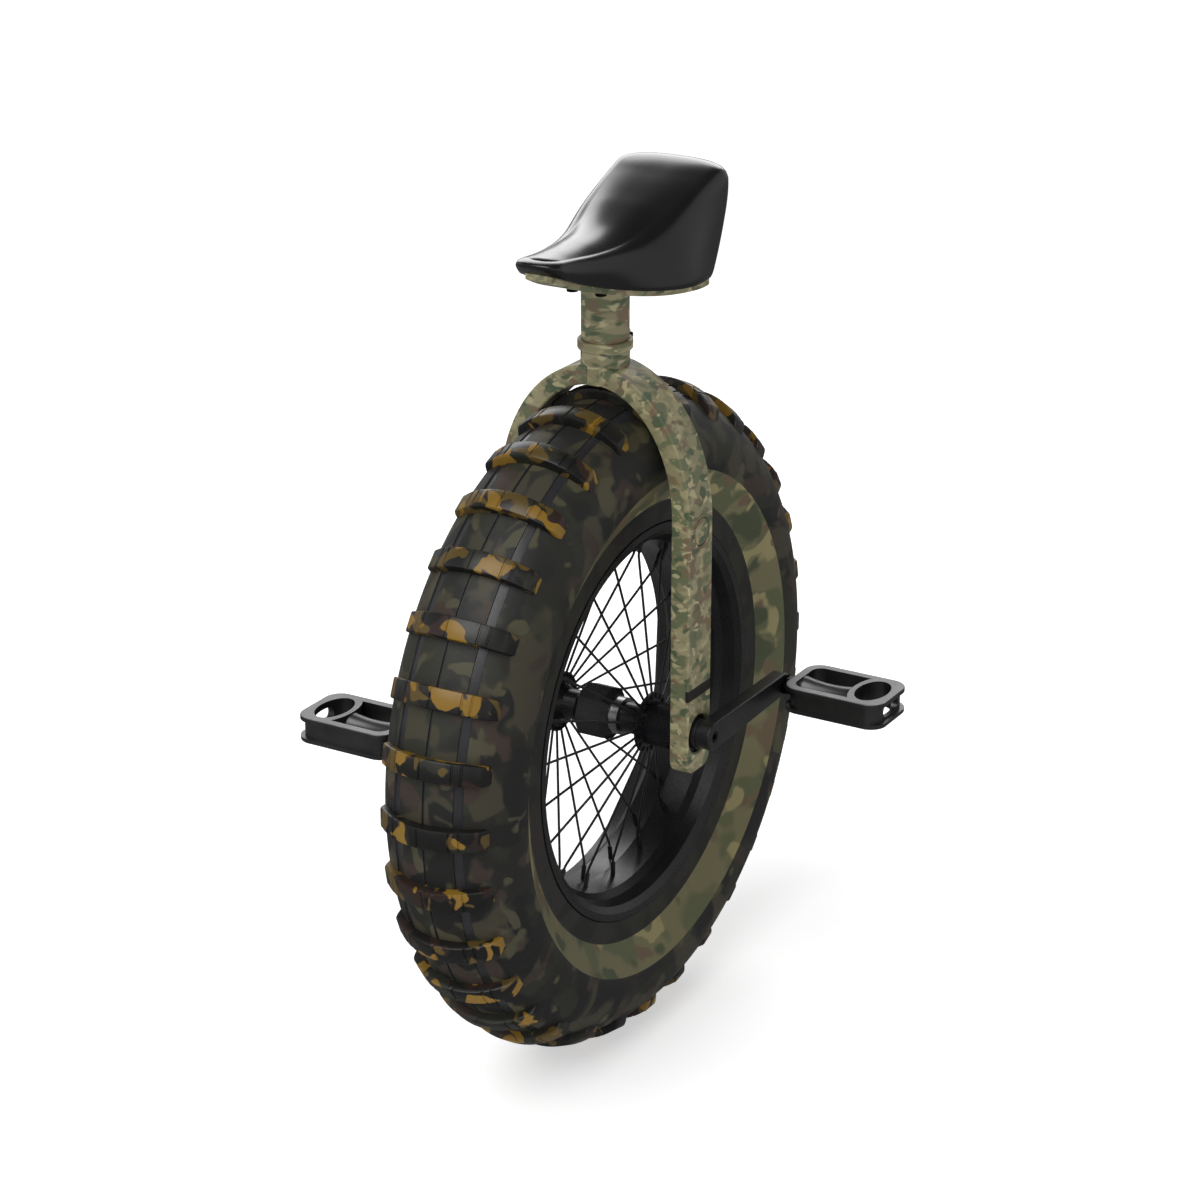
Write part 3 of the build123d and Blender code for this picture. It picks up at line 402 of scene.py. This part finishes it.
# ================= saddle =================
# Moulded foam on a nylon pan under a tight cover of glossy black leather. Its top is dished
# from a high rear to a thin nose and domed crosswise, and a soft crease divides the top from
# the side panels. Heights are in millimetres above the axle.
saddle_floor = 392.0
rise_from, rise_rate = -60.0, 0.0013  # the underside's parabola
plan_stations = [-150, -142, -80, -35, 0, 45, 80, 118, 129]
low_half_widths = [50, 52, 63, 65, 54, 34, 26, 20, 18]
high_half_widths = [50, 51, 49, 44, 37, 29, 22, 17, 15]
nose_round, rear_round = 14.0, 24.0  # how far the plan's corners reach along the saddle
panel_bulge = 2.0


def eased(x, knots, values):
    """A smooth curve through the knots: a cubic on each run, its end slopes the neighbours' mean."""
    knots, values = np.asarray(knots, float), np.asarray(values, float)
    slope = np.gradient(values, knots)
    i = np.clip(np.searchsorted(knots, x) - 1, 0, len(knots) - 2)
    run = knots[i + 1] - knots[i]
    t = np.clip((x - knots[i]) / run, 0, 1)
    return ((1 + 2 * t) * (1 - t) ** 2 * values[i] + t * (1 - t) ** 2 * run * slope[i]
            + t * t * (3 - 2 * t) * values[i + 1] - t * t * (1 - t) * run * slope[i + 1])


def saddle_underside(x):
    """Height of the underside: flat at the rear, then a parabola up to the nose."""
    return saddle_floor + rise_rate * np.maximum(0, x - rise_from) ** 2


def saddle_top(x):
    """Height of the top's middle line."""
    return eased(x, [-146, -116, -78, -40, 8, 52, 84, 119, 135],
                 [489.5, 484.5, 474, 462, 447.5, 443.5, 443, 443, 442])


def saddle_dome(x):
    """How far the top's edge lies below its middle line."""
    return eased(x, [-140, -110, -60, 0, 45, 90, 125], [2, 2, 4, 7, 6.5, 3, 0])


def corner_round(distance, reach, power):
    """A superellipse's width, from 0 at the outline's end to 1 where the corner is over."""
    return (1 - (1 - np.clip(distance / reach, 0, 1)) ** power) ** (1 / power)


def saddle_outline(level, inset):
    """A loop round the saddle at a level between its underside (0) and its top's edge (1).

    Its ends follow the side view's nose and leaning rear, its corners are superellipses, and
    its width goes from the low plan's to the high plan's. The inset draws it in.
    """
    turn = np.linspace(0, 2 * np.pi, 240, endpoint=False)
    along = (1 - np.cos(turn)) / 2  # 0 at the nose, 1 at the rear
    nose = eased(level, [0, 0.3, 0.6, 0.85, 1], [112, 117.5, 119.5, 118, 114]) - inset * 0.5
    rear = eased(level, [0, 0.15, 0.3, 0.45, 0.63, 0.78, 0.88, 0.95, 1],
                 [-93, -104, -114, -123, -132.5, -137.5, -137.5, -133, -126]) + inset
    x = nose + (rear - nose) * along
    low_z, high_z = saddle_underside(x), saddle_top(x) - saddle_dome(x)
    low = eased(x, plan_stations, low_half_widths)
    high = eased(x, plan_stations, high_half_widths)
    width = low + (high - low) * level + panel_bulge * math.sin(math.pi * level)
    width = np.maximum(width - inset * np.minimum(1, width / 40), 0.5)
    corners = corner_round(nose - x, nose_round, 2.3) * corner_round(x - rear, rear_round, 2.4)
    return x, np.sign(np.sin(turn)) * width * corners, low_z + (high_z - low_z) * level


def saddle_points():
    """A closed shell of loops, from the middle of the saddle's underside to that of its top.

    The underside and the top are closed by drawing their outline in to a line along the
    middle. On the way in, the top rises by the dome.
    """
    loops = []
    x, y, z = saddle_outline(0, 3.5)
    for q in (1, 0.6, 0.3, 0.1, 0):  # the underside, from its middle out
        drawn = x + (np.clip(x, -70, 100) - x) * q
        loops.append(np.stack([drawn, y * (1 - q), saddle_underside(drawn)], -1))
    low_edge = [(0.006, 1.7), (0.02, 0.7), (0.045, 0.2)]
    panel = [(level, 0) for level in np.linspace(0.09, 0.84, 14)]
    high_edge = [(0.89, 0.5), (0.93, 1.3), (0.96, 2.5), (0.98, 4.0), (0.993, 6.0)]
    for level, inset in low_edge + panel + high_edge:
        loops.append(np.stack(saddle_outline(level, inset), -1))
    x, y, z = saddle_outline(1, 8.5)
    for q in (0, 0.03, 0.07, 0.12, 0.18, 0.25, 0.34, 0.46, 0.62, 0.8, 1):  # the top, inwards
        drawn = x + (np.clip(x, -85, 104) - x) * q
        height = saddle_top(drawn) - saddle_dome(drawn) * (1 - q) ** 2.7
        loops.append(np.stack([drawn, y * (1 - q), height], -1))
    return np.stack(loops) + axle


def glossy_leather():
    """Finished full-grain leather: black, with fine pores, uneven gloss and a thin clear coat."""
    material, tree, principled, place = new_material(
        "glossy_black_leather", IOR=1.5, Coat_Weight=0.2, Coat_Roughness=0.2)
    # pores about 0.8 mm apart, drawn as 1.2 mm so that they show
    pores = add(tree, "ShaderNodeTexVoronoi", {"Vector": place, "Scale": 1000 / 1.2})
    bump = add(tree, "ShaderNodeBump", {
        "Height": pores.outputs["Distance"], "Strength": 0.12, "Distance": 0.00008})
    waves = add(tree, "ShaderNodeTexNoise", {
        "Vector": place, "Scale": 1000 / 60, "Detail": 2.0}).outputs[0]
    gloss = add(tree, "ShaderNodeMapRange", {
        "Value": waves, "From Min": 0.3, "From Max": 0.7, "To Min": 0.20, "To Max": 0.26})
    shade = add(tree, "ShaderNodeMapRange", {"Value": waves, "From Min": 0.3, "From Max": 0.7})
    mix = add(tree, "ShaderNodeMix", {"Factor": shade.outputs[0]}, data_type="RGBA")
    mix.inputs[6].default_value = linear("#0d0d0e")
    mix.inputs[7].default_value = linear("#131314")
    tree.links.new(mix.outputs[2], principled.inputs["Base Color"])
    tree.links.new(gloss.outputs[0], principled.inputs["Roughness"])
    tree.links.new(bump.outputs[0], principled.inputs["Normal"])
    return material


saddle = skin("saddle_cushion", saddle_points(), [glossy_leather()], wrap=(False, True), crease=60.0)
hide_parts("saddle_cover", "saddle_foam", "saddle_pan")
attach(saddle, "seat")

# ================= cranks and pedals =================
# Forged cranks lacquered black, and cast aluminium pedals left bare and blasted to a satin
# grey. Each pedal turns on a steel spindle in two nylon bushes.
crank_black = coated_metal("black_crank_lacquer", "#1a1a1c", "#252528", 0.8, 0.02, (0.26, 0.38))
pedal_alloy = coated_metal("blasted_cast_aluminium", "#5c5b5c", "#6c6b6c", 0.5, 0.03, (0.34, 0.46), 1.0)
for side in ("left", "right"):
    dress(crank_black, f"crank_{side}")
    dress(bolt_steel, f"crank_bolt_{side}", f"pedal_spindle_{side}", f"pedal_nut_{side}")
    dress(pedal_alloy, f"pedal_frame_{side}", f"pedal_cap_{side}")
    dress(nylon, f"pedal_bushes_{side}")

# ================= studio and camera =================
# A plain white floor under a dim grey studio, with one broad soft light above the camera's
# left. A long softbox behind the wheel is there for the gloss of the saddle and the rim.
scene = bpy.context.scene
scene.view_settings.view_transform = "Standard"

bpy.ops.mesh.primitive_plane_add(size=60)
floor = bpy.context.object
floor.name = "floor"
paper, tree, principled, place = new_material("white_paper", Roughness=1.0, Specular_IOR_Level=0.0)
principled.inputs["Base Color"].default_value = (0.9, 0.9, 0.9, 1)
principled.inputs["Emission Color"].default_value = (1, 1, 1, 1)
principled.inputs["Emission Strength"].default_value = 0.50
floor.data.materials.append(paper)
floor.visible_glossy = False

world = bpy.data.worlds.new("studio")
world.use_nodes = True
scene.world = world
sky = world.node_tree
direction = add(sky, "ShaderNodeTexCoord").outputs["Generated"]
height = add(sky, "ShaderNodeSeparateXYZ", {"Vector": direction}).outputs["Z"]
glow = add(sky, "ShaderNodeMapRange", {
    "Value": height, "From Min": 0.34, "From Max": 0.62, "To Min": 0.48, "To Max": 0.10},
    interpolation_type="SMOOTHSTEP")
dark = add(sky, "ShaderNodeMapRange", {
    "Value": height, "From Min": -0.12, "From Max": 0.0, "To Min": 0.35, "To Max": 1.0})
both = add(sky, "ShaderNodeMath", {0: glow.outputs[0], 1: dark.outputs[0]}, operation="MULTIPLY")
background = sky.nodes["Background"]
background.inputs["Color"].default_value = (1, 1, 1, 1)
sky.links.new(both.outputs[0], background.inputs["Strength"])

key = bpy.data.objects.new("key_light", bpy.data.lights.new("key_light", "SUN"))
key.data.energy = 1.9
key.data.angle = math.radians(50)
key.rotation_euler = Vector((0.70, -0.02, 0.95)).to_track_quat("Z", "Y").to_euler()
scene.collection.objects.link(key)

strip = bpy.data.objects.new("back_light", bpy.data.lights.new("back_light", "AREA"))
strip.data.shape, strip.data.size, strip.data.size_y = "RECTANGLE", 2.2, 1.0
strip.data.energy = 19.0
strip.location = (-1.70, -1.05, 1.48)
strip.rotation_euler = (strip.location - Vector((0, 0, 0.6))).to_track_quat("Z", "Y").to_euler()
scene.collection.objects.link(strip)

azimuth, elevation = math.radians(30.4957), math.radians(21.2529)
back = Vector((math.cos(azimuth) * math.cos(elevation), math.sin(azimuth) * math.cos(elevation),
               math.sin(elevation)))
right = Vector((-math.sin(azimuth), math.cos(azimuth), 0))
up = back.cross(right)
camera = bpy.data.objects.new("camera", bpy.data.cameras.new("camera"))
camera.data.lens, camera.data.sensor_width = 94.55, 36.0
viewpoint = Vector(axle) / 1000 + back * 2.825 - right * 0.0045 + up * 0.100
facing = Matrix((right, up, back)).transposed().to_4x4()
camera.matrix_world = Matrix.Translation(viewpoint) @ facing
scene.collection.objects.link(camera)
scene.camera = camera
